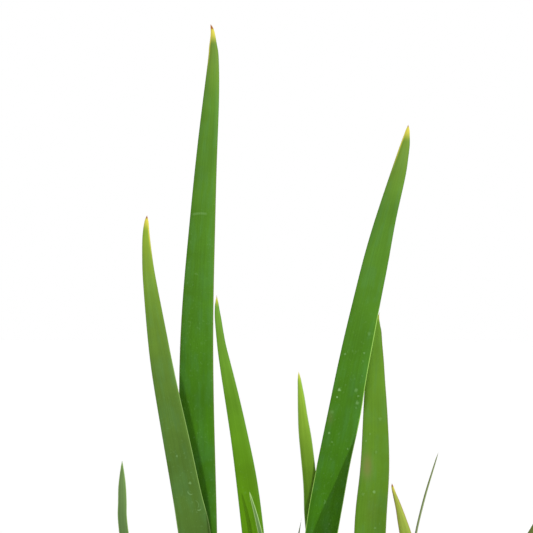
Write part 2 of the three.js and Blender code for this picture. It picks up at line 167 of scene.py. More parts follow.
pot_plastic, tree, shader = new_material("black polypropylene, moulded")
place = add_node(tree, "ShaderNodeTexCoord").outputs["Object"]
peel = add_node(
    tree, "ShaderNodeTexNoise", {"Vector": place, "Scale": PEEL_SCALE, "Detail": 2.0}
).outputs["Fac"]
wear = add_node(
    tree, "ShaderNodeTexNoise", {"Vector": place, "Scale": WEAR_SCALE, "Detail": 6.0, "Roughness": 0.62}
).outputs["Fac"]
stretched = add_node(tree, "ShaderNodeVectorMath", {0: place, 1: SCUFF_SCALE}, operation="MULTIPLY")
scuffs = add_node(
    tree, "ShaderNodeTexNoise", {"Vector": stretched.outputs[0], "Scale": 1.0, "Detail": 4.0}
).outputs["Fac"]
scuffed = add_node(
    tree, "ShaderNodeMapRange", {"Value": scuffs, "From Min": 0.63, "From Max": 0.74, "To Max": 0.35}
).outputs["Result"]
height = add_node(tree, "ShaderNodeSeparateXYZ", {"Vector": place}).outputs["Z"]
low_film = add_node(
    tree, "ShaderNodeMapRange", {"Value": height, "From Min": LOW_FILM_TOP, "From Max": 0.0, "To Max": 0.6}
).outputs["Result"]
rim_film = add_node(
    tree, "ShaderNodeMapRange",
    {"Value": height, "From Min": RIM_FILM_FROM, "From Max": RIM_FILM_FULL, "To Max": 0.16},
).outputs["Result"]
film_sum = add_node(tree, "ShaderNodeMath", {0: low_film, 1: rim_film}, operation="ADD").outputs[0]
film_spots = add_node(
    tree, "ShaderNodeMapRange", {"Value": wear, "From Min": 0.42, "From Max": 0.66}
).outputs["Result"]
film = add_node(tree, "ShaderNodeMath", {0: film_sum, 1: film_spots}, operation="MULTIPLY").outputs[0]
plain = add_node(
    tree, "ShaderNodeValToRGB", {"Fac": wear}, stops=[(0.3, "#121314"), (0.7, "#1b1c1d")]
).outputs["Color"]
rubbed = add_node(
    tree, "ShaderNodeMix", {"Factor": scuffed, 6: plain, 7: linear("#3a3b3b")}, data_type="RGBA"
).outputs[2]
dusty = add_node(
    tree, "ShaderNodeMix", {"Factor": film, 6: rubbed, 7: linear("#5d5042")}, data_type="RGBA"
).outputs[2]
sheen_range = add_node(
    tree, "ShaderNodeMapRange",
    {"Value": wear, "From Min": 0.3, "From Max": 0.7, "To Min": 0.4, "To Max": 0.62},
).outputs["Result"]
dulled = add_node(tree, "ShaderNodeMath", {0: sheen_range, 1: film}, operation="MAXIMUM").outputs[0]
grain = add_node(
    tree, "ShaderNodeBump", {"Height": peel, "Strength": 0.25, "Distance": 0.1 * MM}
).outputs["Normal"]
tree.links.new(dusty, shader.inputs["Base Color"])
tree.links.new(dulled, shader.inputs["Roughness"])
tree.links.new(grain, shader.inputs["Normal"])
shader.inputs["IOR"].default_value = 1.49
shader.inputs["Specular IOR Level"].default_value = 0.4
pot.data.materials.append(pot_plastic)
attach(pot, "root")
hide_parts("pot")

# Potting mix: peat and composted bark, pressed into the pot by hand and settled by watering. Its top is
# crumbly and a little sunk at the wall, and it closes round each rhizome.
SOIL_STEPS = 84
SOIL_TURNS = 260
# In millimetres, with the wall as radius and height
SOIL_EDGE = 75.9
SOIL_FLOOR = 2.6
SOIL_WALL = [(SOIL_EDGE, 143), (74.6, 132), (59.4, 4), (59.2, SOIL_FLOOR), (0, SOIL_FLOOR)]
SOIL_TOP = 147
SOIL_SINK = 2.2
# The size of the lumps and crumbs, and how far they rise, in millimetres
SOIL_LUMPS = ((9, 1.1), (3.2, 0.8), (1.6, 0.4))
# The heap round a rhizome, in millimetres, with its place and width as shares of the rhizome's own reach
HEAP_HEIGHT = 0.9
HEAP_PLACE = 1.25
HEAP_WIDTH = 0.3
POCKET = 9 * MM
LUMP_OFFSET = Vector((0.37, 1.91, 4.2))
CRUMB_SCALE = 650.0
DAMP_SCALE = 70.0


def points_of(mesh):
    flat = np.zeros(len(mesh.vertices) * 3, np.float32)
    mesh.vertices.foreach_get("co", flat)
    return flat.reshape(-1, 3)


def move_points(mesh, points):
    mesh.vertices.foreach_set("co", np.ascontiguousarray(points, np.float32).ravel())
    mesh.update()


def lie_of(node):
    """Seen from above: the middle of a rhizome's solid, its direction, half length and half width."""
    place = np.unique(np.round(points_of(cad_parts[node].data)[:, :2], 5), axis=0)
    gaps = np.linalg.norm(place[:, None] - place[None], axis=2)
    one, other = np.unravel_index(np.argmax(gaps), gaps.shape)
    along = (place[other] - place[one]) / gaps[one, other]
    along = along if along[0] > 0 else -along
    middle = (place[other] + place[one]) / 2
    wide = np.abs((place - middle) @ np.array([-along[1], along[0]])).max()
    return middle, along, gaps[one, other] / 2, wide


FANS = {node[-1]: lie_of(node) for node in sorted(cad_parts) if node.startswith("rhizome_")}


def in_rhizome(x, y):
    """How far a point is from the middle of the nearest rhizome: 0 at its middle, 1 at its edge."""
    nearest = math.inf
    for middle, along, long, wide in FANS.values():
        dx, dy = x - middle[0], y - middle[1]
        u, v = dx * along[0] + dy * along[1], -dx * along[1] + dy * along[0]
        nearest = min(nearest, math.hypot(u / long, v / wide))
    return nearest


def soil_height(x, y):
    """The potting mix's surface: sunk at the wall, lumpy, heaped round each rhizome and hollow under it."""
    radius = math.hypot(x, y) / (SOIL_EDGE * MM)
    level = SOIL_TOP - SOIL_SINK * radius**4
    lumps = sum(
        share * noise.noise(Vector((x, y, 0)) / (size * MM) + LUMP_OFFSET) for size, share in SOIL_LUMPS
    )
    near = in_rhizome(x, y)
    heaped = HEAP_HEIGHT * math.exp(-(((near - HEAP_PLACE) / HEAP_WIDTH) ** 2))
    return (level + lumps * (1 - 0.5 * radius**6) + heaped) * MM - POCKET * max(0.0, 1 - near**2)


top = [(SOIL_EDGE * i / SOIL_STEPS, SOIL_TOP) for i in range(SOIL_STEPS + 1)]
soil = spun("potting_mix", top + SOIL_WALL, SOIL_TURNS)
points = points_of(soil.data)
for i in np.flatnonzero(points[:, 2] > (SOIL_TOP - 1) * MM):
    points[i][2] = soil_height(points[i][0], points[i][1])
move_points(soil.data, points)
pick(soil)
bpy.ops.object.shade_smooth()


def soil_material(name, dark, mid, pale, bump):
    """Damp peat and bark: nearly black in the hollows, brown on its 1.5 mm crumbs, in patches of 14 mm."""
    material, tree, shader = new_material(name)
    place = add_node(tree, "ShaderNodeTexCoord").outputs["Object"]
    crumb = add_node(
        tree, "ShaderNodeTexNoise", {"Vector": place, "Scale": CRUMB_SCALE, "Detail": 5.0, "Roughness": 0.7}
    ).outputs["Fac"]
    damp = add_node(
        tree, "ShaderNodeTexNoise", {"Vector": place, "Scale": DAMP_SCALE, "Detail": 2.0}
    ).outputs["Fac"]
    blend = add_node(
        tree, "ShaderNodeMix", {"Factor": 0.35, 2: crumb, 3: damp}, data_type="FLOAT"
    ).outputs[0]
    grain_shade = add_node(tree, "ShaderNodeAttribute", attribute_name="shade").outputs["Fac"]
    shifted = add_node(tree, "ShaderNodeMath", {0: blend, 1: grain_shade}, operation="ADD").outputs[0]
    colour = add_node(
        tree, "ShaderNodeValToRGB", {"Fac": shifted}, stops=[(0.36, dark), (0.68, pale), (0.52, mid)]
    ).outputs["Color"]
    relief = add_node(
        tree, "ShaderNodeBump", {"Height": crumb, "Strength": 0.7, "Distance": bump * MM}
    ).outputs["Normal"]
    tree.links.new(colour, shader.inputs["Base Color"])
    tree.links.new(relief, shader.inputs["Normal"])
    shader.inputs["Roughness"].default_value = 0.95
    shader.inputs["Specular IOR Level"].default_value = 0.2
    return material


soil.data.materials.append(soil_material("potting mix, damp peat", "#1d140d", "#35261a", "#54402c", 0.5))
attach(soil, "root")
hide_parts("soil")

# Loose crumbs, bark chips and perlite that lie on the mix. Crumbs are peat, bark chips are flat and
# splintered, and perlite is white puffed glass. Two or three of each are modelled, and copies of them are
# strewn about, clear of the rhizomes.
STREWN_RADIUS = 74 * MM
CLEAR_OF_RHIZOME = 1.15
SHADE_SPREAD = 0.12
PORE_SCALE = 1800.0


def grain_model(rough, seed, size=(1, 1, 1)):
    """One lumpy grain, about 1 across before its size."""
    bpy.ops.object.select_all(action="DESELECT")
    bpy.ops.mesh.primitive_ico_sphere_add(subdivisions=2, radius=0.5)
    grain = bpy.context.object
    bpy.ops.object.mode_set(mode="EDIT")
    bpy.ops.transform.vertex_random(offset=rough, seed=seed)
    bpy.ops.transform.resize(value=size)
    bpy.ops.object.mode_set(mode="OBJECT")
    shape = points_of(grain.data), [tuple(face.vertices) for face in grain.data.polygons]
    bpy.data.objects.remove(grain)
    return shape


def strew(name, shapes, count, sizes, material, seed, sunk=0.25, tilt=1.0):
    """Copies of the grains on the mix, as one piece, each with its own turn, size and shade. Sizes are in
    millimetres, sunk is the share of a grain's size that lies in the mix, and tilt is in radians."""
    draw = random.Random(seed)
    points, faces, shades = [], [], []
    made = 0
    while made < count:
        angle, radius = draw.uniform(0, 2 * math.pi), STREWN_RADIUS * math.sqrt(draw.random())
        x, y = radius * math.cos(angle), radius * math.sin(angle)
        if in_rhizome(x, y) < CLEAR_OF_RHIZOME:
            continue
        corners, sides = shapes[made % len(shapes)]
        size = draw.uniform(*sizes) * MM
        turn = Euler((draw.uniform(-tilt, tilt), draw.uniform(-tilt, tilt), draw.uniform(0, 2 * math.pi)))
        spread = np.array(turn.to_matrix()) * size
        placed = corners @ spread.T
        lowest = placed[:, 2].min()
        placed += (x, y, soil_height(x, y) - lowest - sunk * size)
        faces += [tuple(len(points) * len(corners) + v for v in side) for side in sides]
        points.append(placed)
        shades += [draw.uniform(-SHADE_SPREAD, SHADE_SPREAD)] * len(corners)
        made += 1
    mesh = bpy.data.meshes.new(name)
    mesh.from_pydata(np.concatenate(points).tolist(), [], faces)
    mesh.attributes.new("shade", "FLOAT", "POINT").data.foreach_set("value", shades)
    piece = bpy.data.objects.new(name, mesh)
    bpy.context.collection.objects.link(piece)
    mesh.materials.append(material)
    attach(piece, "root")


crumb_shapes = [grain_model(0.16, seed) for seed in (1, 2, 3)]
chip_shapes = [grain_model(0.12, seed, size) for seed, size in ((4, (1, 0.5, 0.16)), (5, (1, 0.34, 0.2)))]
perlite_shapes = [grain_model(0.1, seed) for seed in (6, 7)]
bark = soil_material("composted pine bark", "#2b1a10", "#553521", "#7a5336", 0.2)

# Perlite: chalky white glass, full of pores about 0.5 mm wide and stained by the peat
perlite, tree, shader = new_material("perlite, expanded glass")
place = add_node(tree, "ShaderNodeTexCoord").outputs["Object"]
pores = add_node(tree, "ShaderNodeTexVoronoi", {"Vector": place, "Scale": PORE_SCALE}).outputs["Distance"]
stained = add_node(
    tree, "ShaderNodeValToRGB", {"Fac": pores}, stops=[(0.1, "#a39a8a"), (0.5, "#e6e2d8")]
).outputs["Color"]
pitted = add_node(tree, "ShaderNodeBump", {"Height": pores, "Strength": 0.5, "Distance": 0.2 * MM})
tree.links.new(stained, shader.inputs["Base Color"])
tree.links.new(pitted.outputs["Normal"], shader.inputs["Normal"])
shader.inputs["Roughness"].default_value = 0.85

strew("peat_crumbs", crumb_shapes, 900, (1.1, 3.6), soil.data.materials[0], seed=11)
strew("bark_chips", chip_shapes, 190, (4, 11), bark, seed=12, sunk=0.05, tilt=0.4)
strew("perlite_grains", perlite_shapes, 90, (1.2, 3), perlite, seed=13, sunk=0.35)

# Rhizomes: each fan grows from a short creeping stem, brown and corky, ringed by the scars of old leaves,
# half sunk in the mix. The threads that are left of those leaves stand round the foot of the fan.
RHIZOME_MIDDLE = 144.4 * MM
RHIZOME_HALF_HEIGHT = 5.6 * MM
RHIZOME_SEGMENTS = 40
RHIZOME_RINGS = 24
SCAR_GAP = 2.3 * MM
SCAR_RELIEF = 0.035
LUMP_RELIEF = 0.11
THREADS = 44
THREAD_RADIUS = 0.24 * MM
THREAD_START = 146.6 * MM
THREAD_STEPS = 5
# Where the threads stand, as shares of the rhizome's half length and half width
THREAD_CIRCLE = (0.66, 0.6)
# The least and most length in millimetres, then lean, curl and sway as shares of the length
THREAD_LENGTHS = (7, 30)
THREAD_LEANS = (-0.05, 0.28)
THREAD_CURLS = (-0.2, 0.45)
THREAD_SWAY = 0.35
FLAKE_SCALE = 900.0
FADED_SCALE = 420.0

# Cork: dull brown, darker in the scars, with loose flakes about 1 mm across
cork, tree, shader = new_material("rhizome, corky skin")
place = add_node(tree, "ShaderNodeTexCoord").outputs["Object"]
ring = add_node(tree, "ShaderNodeAttribute", attribute_name="ring").outputs["Fac"]
flakes = add_node(
    tree, "ShaderNodeTexNoise", {"Vector": place, "Scale": FLAKE_SCALE, "Detail": 4.0, "Roughness": 0.65}
).outputs["Fac"]
mixed = add_node(tree, "ShaderNodeMix", {"Factor": 0.5, 2: ring, 3: flakes}, data_type="FLOAT").outputs[0]
brown = add_node(
    tree, "ShaderNodeValToRGB", {"Fac": mixed},
    stops=[(0.25, "#3b2818"), (0.75, "#9a7a52"), (0.5, "#6b4d31")],
).outputs["Color"]
flaking = add_node(tree, "ShaderNodeBump", {"Height": flakes, "Strength": 0.6, "Distance": 0.3 * MM})
tree.links.new(brown, shader.inputs["Base Color"])
tree.links.new(flaking.outputs["Normal"], shader.inputs["Normal"])
shader.inputs["Roughness"].default_value = 0.85

# Dry fibres: dull straw, weathered to brown in patches of 2 or 3 mm
fibre, tree, shader = new_material("old leaf fibres, dry")
place = add_node(tree, "ShaderNodeTexCoord").outputs["Object"]
faded = add_node(
    tree, "ShaderNodeTexNoise", {"Vector": place, "Scale": FADED_SCALE, "Detail": 2.0}
).outputs["Fac"]
straw = add_node(
    tree, "ShaderNodeValToRGB", {"Fac": faded}, stops=[(0.3, "#5a3d22"), (0.7, "#b08c5a"), (0.5, "#86633a")]
).outputs["Color"]
tree.links.new(straw, shader.inputs["Base Color"])
shader.inputs["Roughness"].default_value = 0.8

for letter, (middle, along, long, wide) in FANS.items():
    bpy.ops.object.select_all(action="DESELECT")
    bpy.ops.mesh.primitive_uv_sphere_add(segments=RHIZOME_SEGMENTS, ring_count=RHIZOME_RINGS, radius=1)
    crown = bpy.context.object
    crown.name = crown.data.name = f"crown_{letter}"
    points = points_of(crown.data).astype(float)
    rings = np.zeros(len(points))
    for i, (x, y, z) in enumerate(points):
        u = x * long
        scar = math.sin(2 * math.pi * u / SCAR_GAP + 0.6 * math.sin(5 * y))
        lump = noise.noise(Vector((x * 2.6 + ord(letter), y * 2.2, z * 2.2)))
        grow = 1 + SCAR_RELIEF * scar + LUMP_RELIEF * lump
        body = Vector((abs(x) ** 0.9 * math.copysign(1, x) * long, y * wide * grow, 0))
        rings[i] = 0.5 + 0.5 * scar
        points[i] = (
            middle[0] + body.x * along[0] - body.y * along[1],
            middle[1] + body.x * along[1] + body.y * along[0],
            RHIZOME_MIDDLE + min(z * RHIZOME_HALF_HEIGHT * grow, RHIZOME_HALF_HEIGHT),
        )
    move_points(crown.data, points)
    crown.data.attributes.new("ring", "FLOAT", "POINT").data.foreach_set("value", rings.astype(np.float32))
    crown.data.materials.append(cork)
    bpy.ops.object.shade_smooth()
    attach(crown, "root")
    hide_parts(f"rhizome_{letter}")

    draw = random.Random(f"threads {letter}")
    lines = bpy.data.curves.new(f"old_fibres_{letter}", "CURVE")
    lines.dimensions = "3D"
    lines.bevel_depth = THREAD_RADIUS
    lines.bevel_resolution = 0
    lines.use_fill_caps = True
    for _ in range(THREADS):
        angle = draw.uniform(0, 2 * math.pi)
        out = Vector((
            math.cos(angle) * THREAD_CIRCLE[0] * long,
            math.sin(angle) * THREAD_CIRCLE[1] * wide,
        ))
        start = Vector((
            middle[0] + out.x * along[0] - out.y * along[1],
            middle[1] + out.x * along[1] + out.y * along[0],
            THREAD_START,
        ))
        away = Vector((start.x - middle[0], start.y - middle[1], 0)).normalized()
        length = draw.uniform(*THREAD_LENGTHS) * MM
        lean, curl = draw.uniform(*THREAD_LEANS), draw.uniform(*THREAD_CURLS)
        sway = away.cross(Vector((0, 0, 1))) * draw.uniform(-THREAD_SWAY, THREAD_SWAY)
        strand = lines.splines.new("POLY")
        strand.points.add(THREAD_STEPS)
        for i, point in enumerate(strand.points):
            part = i / THREAD_STEPS
            bow = away * (lean * part + curl * part**2 * 0.5) + sway * part**2
            spot = start + bow * length + Vector((0, 0, length * (part - 0.25 * max(curl, 0) * part**2)))
            point.co = (*spot, 1)
            point.radius = (1.0 - 0.75 * part) * (1 if i else 1.3)
    threads = bpy.data.objects.new(lines.name, lines)
    bpy.context.collection.objects.link(threads)
    pick(threads)
    bpy.ops.object.convert(target="MESH")
    threads = bpy.context.object
    threads.data.materials.append(fibre)
    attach(threads, "root")

# Leaves: living sword-shaped blades, thin at both margins and a little fuller in the middle, with fine
# ribs along them. The outer leaves of each fan are folded and clasp the ones inside at the foot.
# Each is the solid's own surface, merged, cut finer and smoothed, with its margins kept sharp.
BLADE_CUTS = 3
MIDDLE_LEVELS = 3
OUTER_LEVELS = 2
RIB_GAP = 1.3 * MM
RIB_RELIEF = 0.014 * MM
BLADE_FULLNESS = 0.22 * MM
FULL_WIDTH = 6 * MM
TIP_FADE = 25 * MM
TOUCHING = 0.01 * MM
RING_STEP = 0.02 * MM
# Across is -1 and 1 at the margins. Past the first value a point lies on one, and an edge from one margin to
# the other is told by the product of its ends, which passes the second.
AT_MARGIN = 0.999
BOTH_MARGINS = 0.98
FOLDED_RING = 8
HOLD_ROUNDS = 3


def solid_copy(node, name):
    """The solid's surface as a new piece, its shared points merged and its triangles paired up."""
    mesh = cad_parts[node].data.copy()
    mesh.name = name
    mesh.materials.clear()
    piece = bpy.data.objects.new(name, mesh)
    bpy.context.collection.objects.link(piece)
    pick(piece)
    bpy.ops.object.mode_set(mode="EDIT")
    bpy.ops.mesh.select_all(action="SELECT")
    bpy.ops.mesh.remove_doubles(threshold=TOUCHING)
    bpy.ops.mesh.customdata_custom_splitnormals_clear()
    bpy.ops.mesh.tris_convert_to_quads(face_threshold=math.pi, shape_threshold=math.pi)
    bpy.ops.object.mode_set(mode="OBJECT")
    return piece


def normals_of(mesh):
    flat = np.zeros(len(mesh.vertices) * 3, np.float32)
    mesh.vertex_normals.foreach_get("vector", flat)
    return flat.reshape(-1, 3)


def read_value(mesh, name):
    values = np.zeros(len(mesh.vertices), np.float32)
    mesh.attributes[name].data.foreach_get("value", values)
    return values


def write_value(mesh, name, values):
    held = mesh.attributes.get(name) or mesh.attributes.new(name, "FLOAT", "POINT")
    held.data.foreach_set("value", np.ascontiguousarray(values, np.float32))


def measure_blade(mesh):
    """For each point its place across its ring, from -1 at the left to 1 at the right, the ring's half
    width, and how many points the ring has."""
    points = points_of(mesh)
    across = np.zeros(len(points))
    half = np.zeros(len(points))
    count = np.zeros(len(points))
    levels = np.round(points[:, 2] / RING_STEP)
    for level in np.unique(levels):
        ring = np.flatnonzero(levels == level)
        place = points[ring][:, :2]
        gaps = np.linalg.norm(place[:, None] - place[None], axis=2)
        left, right = np.unravel_index(np.argmax(gaps), gaps.shape)
        if place[left][0] > place[right][0]:
            left, right = right, left
        span = place[right] - place[left]
        width = max(np.linalg.norm(span), 1e-9)
        across[ring] = 2 * (place - place[left]) @ span / width**2 - 1 if len(ring) > 1 else 0
        half[ring] = width / 2
        count[ring] = len(ring)
    return across, half, count


def hold_outline(piece):
    """Shifts the coarse rings so that the smoothed margins pass where the solid's margins are."""
    mesh = piece.data
    wanted = points_of(mesh)
    across = read_value(mesh, "across")
    levels = np.round(wanted[:, 2] / RING_STEP)
    rings = [np.flatnonzero(levels == level) for level in np.unique(levels)]
    rings = [ring for ring in rings if len(ring) > 1 and np.sum(np.abs(across[ring]) > AT_MARGIN) == 2]
    for _ in range(HOLD_ROUNDS):
        smoothed = piece.evaluated_get(bpy.context.evaluated_depsgraph_get()).to_mesh()
        miss = wanted - points_of(smoothed)[: len(wanted)]
        points = points_of(mesh)
        for ring in rings:
            left, right = ring[np.argmin(across[ring])], ring[np.argmax(across[ring])]
            share = ((across[ring] + 1) / 2)[:, None]
            points[ring] += miss[left] * (1 - share) + miss[right] * share
        move_points(mesh, points)


def smooth_blade(piece, middle, levels):
    """Keeps the blade's margins and foot sharp, cuts a middle leaf finer across, and smooths the rest. Where
    a blade is folded, its rings have eight points or more, and it has no sharp margin there."""
    mesh = piece.data
    across, half, count = measure_blade(mesh)
    write_value(mesh, "across", across)
    write_value(mesh, "half_width", half)
    heights = points_of(mesh)[:, 2]
    foot, tip = heights.min(), heights.max()
    flat = count < FOLDED_RING
    pick(piece)
    bpy.ops.object.mode_set(mode="EDIT")
    bpy.ops.mesh.select_mode(type="EDGE")
    bpy.ops.mesh.select_all(action="DESELECT")
    bpy.ops.object.mode_set(mode="OBJECT")
    for edge in mesh.edges:
        a, b = edge.vertices
        same_side = across[a] * across[b] > 0 or tip in (heights[a], heights[b])
        on_edge = all(abs(across[v]) > AT_MARGIN or heights[v] == tip for v in (a, b))
        margin = on_edge and same_side and flat[a] and flat[b]
        at_foot = max(heights[a], heights[b]) < foot + TOUCHING
        edge.select = bool(margin or at_foot)
    bpy.ops.object.mode_set(mode="EDIT")
    bpy.ops.transform.edge_crease(value=1.0)
    if middle:
        bpy.ops.mesh.select_all(action="DESELECT")
        bpy.ops.object.mode_set(mode="OBJECT")
        for edge in mesh.edges:
            a, b = edge.vertices
            level = abs(heights[a] - heights[b]) < TOUCHING
            edge.select = bool(level and -BOTH_MARGINS < across[a] * across[b] < 0)
        bpy.ops.object.mode_set(mode="EDIT")
        bpy.ops.mesh.subdivide(number_cuts=BLADE_CUTS)
    bpy.ops.mesh.select_mode(type="VERT")
    bpy.ops.mesh.select_all(action="DESELECT")
    bpy.ops.object.mode_set(mode="OBJECT")
    for vertex in mesh.vertices:
        vertex.select = bool(vertex.co.z > tip - TOUCHING)
    bpy.ops.object.mode_set(mode="EDIT")
    bpy.ops.transform.vert_crease(value=1.0)
    bpy.ops.object.mode_set(mode="OBJECT")
    finer = piece.modifiers.new("finer", "SUBSURF")
    finer.levels = finer.render_levels = levels
    hold_outline(piece)
    bpy.ops.object.modifier_apply(modifier=finer.name)
    bpy.ops.object.shade_smooth()


def fill_blade(piece, foot, tip):
    """Makes the blade fuller in the middle, raises its ribs, and writes what its material reads."""
    mesh = piece.data
    across = np.clip(read_value(mesh, "across"), -1, 1)
    half = read_value(mesh, "half_width")
    points = points_of(mesh)
    rise = points[:, 2] - foot
    down = tip - points[:, 2]
    vein = across * half.max()
    fade = np.clip(down / TIP_FADE, 0, 1) * np.clip(half / FULL_WIDTH, 0, 1)
    ribs = RIB_RELIEF * np.cos(2 * math.pi * vein / RIB_GAP) * (1 - across**4)
    out = fade * (BLADE_FULLNESS * (1 - across**2) + ribs)
    move_points(mesh, points + normals_of(mesh) * out[:, None])
    write_value(mesh, "across", across)
    write_value(mesh, "vein", vein / MM)
    write_value(mesh, "edge", (1 - np.abs(across)) * half / MM)
    write_value(mesh, "down", down / MM)
    write_value(mesh, "rise", rise / MM)


# Living iris leaf: a waxy green skin with close parallel veins. Its margins are thin, aged to olive or brown
# on some and painted pale on others as light that shines through them, the tip dries yellow and then brown,
# and the foot is whitish with a pink flush. Old leaves have blotches.
YELLOW = "#c2b84a"
DRIED = "#965c2c"
BLOTCH = "#7a6646"
WATER_MARK = "#90b77c"
BLOOM = "#4c8258"
FOOT_PALE = "#b9c48e"
FOOT_FLUSH = "#a06a72"
STREAK_SCALE = 1.1
STREAK_DRAWN = 0.012
TIP_WANDER = 1.5
MOTTLE_SCALE = 60.0
BLOOM_BANDS = (0.22, 4.0, 1.0)
BLOOM_PATCH_SCALE = 80.0
DUST_SCALE = 800.0

leaf_skin, tree, shader = new_material("iris leaf, living")
CARRIED = ("across", "vein", "edge", "down", "rise", "gilt", "yellow", "brown", "bloom", "blotch")
measure = {
    name: add_node(tree, "ShaderNodeAttribute", attribute_name=name).outputs["Fac"]
    for name in (*CARRIED, "deposit")
}
tone = add_node(tree, "ShaderNodeAttribute", attribute_name="tone").outputs["Color"]
margin = add_node(tree, "ShaderNodeAttribute", attribute_name="rim").outputs["Color"]
place = add_node(tree, "ShaderNodeTexCoord").outputs["Object"]

# Veins are streaks about 1 mm apart across the blade and drawn out along it, on measures in millimetres, and
# the green changes slowly over 15 mm and more. The yellow and brown of the tip end unevenly along the veins.
along = add_node(
    tree, "ShaderNodeMath", {0: measure["down"], 1: STREAK_DRAWN}, operation="MULTIPLY"
).outputs[0]
line = add_node(
    tree, "ShaderNodeCombineXYZ", {"X": measure["vein"], "Y": along, "Z": measure["gilt"]}
).outputs[0]
streaks = add_node(
    tree, "ShaderNodeTexNoise", {"Vector": line, "Scale": STREAK_SCALE, "Detail": 3.0, "Roughness": 0.6}
).outputs["Fac"]
mottle = add_node(
    tree, "ShaderNodeTexNoise", {"Vector": place, "Scale": MOTTLE_SCALE, "Detail": 3.0}
).outputs["Fac"]
streaked = add_node(
    tree, "ShaderNodeMapRange",
    {"Value": streaks, "From Min": 0.3, "From Max": 0.7, "To Min": 0.93, "To Max": 1.07},
).outputs["Result"]
clouded = add_node(
    tree, "ShaderNodeMapRange",
    {"Value": mottle, "From Min": 0.3, "From Max": 0.7, "To Min": 0.9, "To Max": 1.1},
).outputs["Result"]
shade = add_node(tree, "ShaderNodeMath", {0: streaked, 1: clouded}, operation="MULTIPLY").outputs[0]
skin = add_node(tree, "ShaderNodeVectorMath", {0: tone, "Scale": shade}, operation="SCALE").outputs["Vector"]
wander = add_node(
    tree, "ShaderNodeMapRange", {"Value": streaks, "To Min": -TIP_WANDER, "To Max": TIP_WANDER}
).outputs["Result"]
from_tip = add_node(tree, "ShaderNodeMath", {0: measure["down"], 1: wander}, operation="ADD").outputs[0]
for name in ("yellow", "brown"):
    measure[f"in {name}"] = add_node(
        tree, "ShaderNodeMath", {0: measure[name], 1: from_tip}, operation="SUBTRACT"
    ).outputs[0]
# The bloom lies in hazy bands about 4 mm wide, broken up into patches of 12 mm, and flecks of dust are 1 mm.
drift = add_node(tree, "ShaderNodeVectorMath", {0: line, 1: BLOOM_BANDS}, operation="MULTIPLY")
measure["haze"] = add_node(
    tree, "ShaderNodeTexNoise", {"Vector": drift.outputs[0], "Scale": 1.0, "Detail": 4.0}
).outputs["Fac"]
measure["patch"] = add_node(
    tree, "ShaderNodeTexNoise", {"Vector": place, "Scale": BLOOM_PATCH_SCALE, "Detail": 3.0}
).outputs["Fac"]
measure["dust"] = add_node(
    tree, "ShaderNodeTexNoise", {"Vector": place, "Scale": DUST_SCALE, "Detail": 2.0}
).outputs["Fac"]
measure["side"] = add_node(
    tree, "ShaderNodeMath", {0: measure["across"], 1: measure["gilt"]}, operation="MULTIPLY"
).outputs[0]

# What lies over the green, in turn: a colour, how strong it gets, and what it fades in by, each with where
# it begins and where it is full. Edge, down, rise, yellow and brown are in millimetres.
layers = [
    (BLOOM, 0.11, [("haze", 0.4, 0.62), ("patch", 0.34, 0.56), ("bloom", 0.0, 1.0)]),
    (WATER_MARK, 0.1, [("dust", 0.6, 0.76), ("down", 40, 140)]),
    (YELLOW, 0.09, [("down", 45, 5), ("yellow", 2.0, 3.5)]),
    (BLOTCH, 0.6, [("blotch", 0.0, 1.0)]),
    # The margin colour: aged olive and brown, or a painted pale glow of light through a thin margin
    (margin, 0.8, [("edge", 0.5, 0.2)]),
    (YELLOW, 0.8, [("side", 0.0, 0.2), ("edge", 0.85, 0.3), ("down", 28, 8)]),
    (YELLOW, 0.95, [("in yellow", -5.0, 1.5), ("yellow", 0.0, 1.0)]),
    (DRIED, 1.0, [("in brown", -0.6, 0.4), ("brown", 0.0, 0.5)]),
    (WATER_MARK, 1.0, [("deposit", 0.0, 1.0)]),
    (FOOT_PALE, 0.8, [("rise", 34, 4)]),
    (FOOT_FLUSH, 0.5, [("rise", 10, 1)]),
]
for colour, strength, fades in layers:
    cover = strength
    for name, begins, full in fades:
        cover = add_node(
            tree, "ShaderNodeMapRange",
            {"Value": measure[name], "From Min": begins, "From Max": full, "To Max": cover},
            interpolation_type="SMOOTHSTEP",
        ).outputs["Result"]
    over = linear(colour) if isinstance(colour, str) else colour
    skin = add_node(tree, "ShaderNodeMix", {"Factor": cover, 6: skin, 7: over}, data_type="RGBA").outputs[2]
relief = add_node(
    tree, "ShaderNodeBump", {"Height": streaks, "Strength": 0.2, "Distance": 0.12 * MM}
).outputs["Normal"]
tree.links.new(skin, shader.inputs["Base Color"])
tree.links.new(relief, shader.inputs["Normal"])
shader.inputs["Roughness"].default_value = 0.48
shader.inputs["Specular IOR Level"].default_value = 0.12
shader.inputs["Specular Tint"].default_value = linear("#c4e08a")

# The greens of a clump in late summer, each as it is near the leaf's tip and lower down.
SHADES = {
    "deep": ("#53782a", "#36660f"),
    "dusky": ("#73942a", "#466426"),
    "fresh": ("#638b2b", "#4b711b"),
    "lush": ("#608730", "#487308"),
    "yellowing": ("#86a635", "#36600f"),
    "ripe": ("#9ca246", "#66882c"),
    "light": ("#5c7c44", "#405c34"),
    "greyish": ("#5e7844", "#4e6a3a"),
    "sallow": ("#7e8862", "#74845a"),
    "aged": ("#5f6632", "#51602e"),
}
BLOOMED = ("deep", "dusky", "fresh")
# The thin margins: bright, pale and soft are painted light, the glow of light through a thin margin and a
# lift on a margin turned from the lamp; moss, olive and brown are where they have aged. On a leaf that has
# one yellow margin near the tip, the left and the right one take this colour so many millimetres below the
# tip.
MARGIN_FROM = {"a1": (140, 60), "b1": (140, 60), "g1": (168, 88)}
MARGIN_FADE = 8
AGED_AND_LIT_RIMS = {
    "bright": "#9cba76", "pale": "#98c25c", "soft": "#7c9a54", "moss": "#4f7a20", "olive": "#5c6a2a",
    "brown": "#8f7444",
}
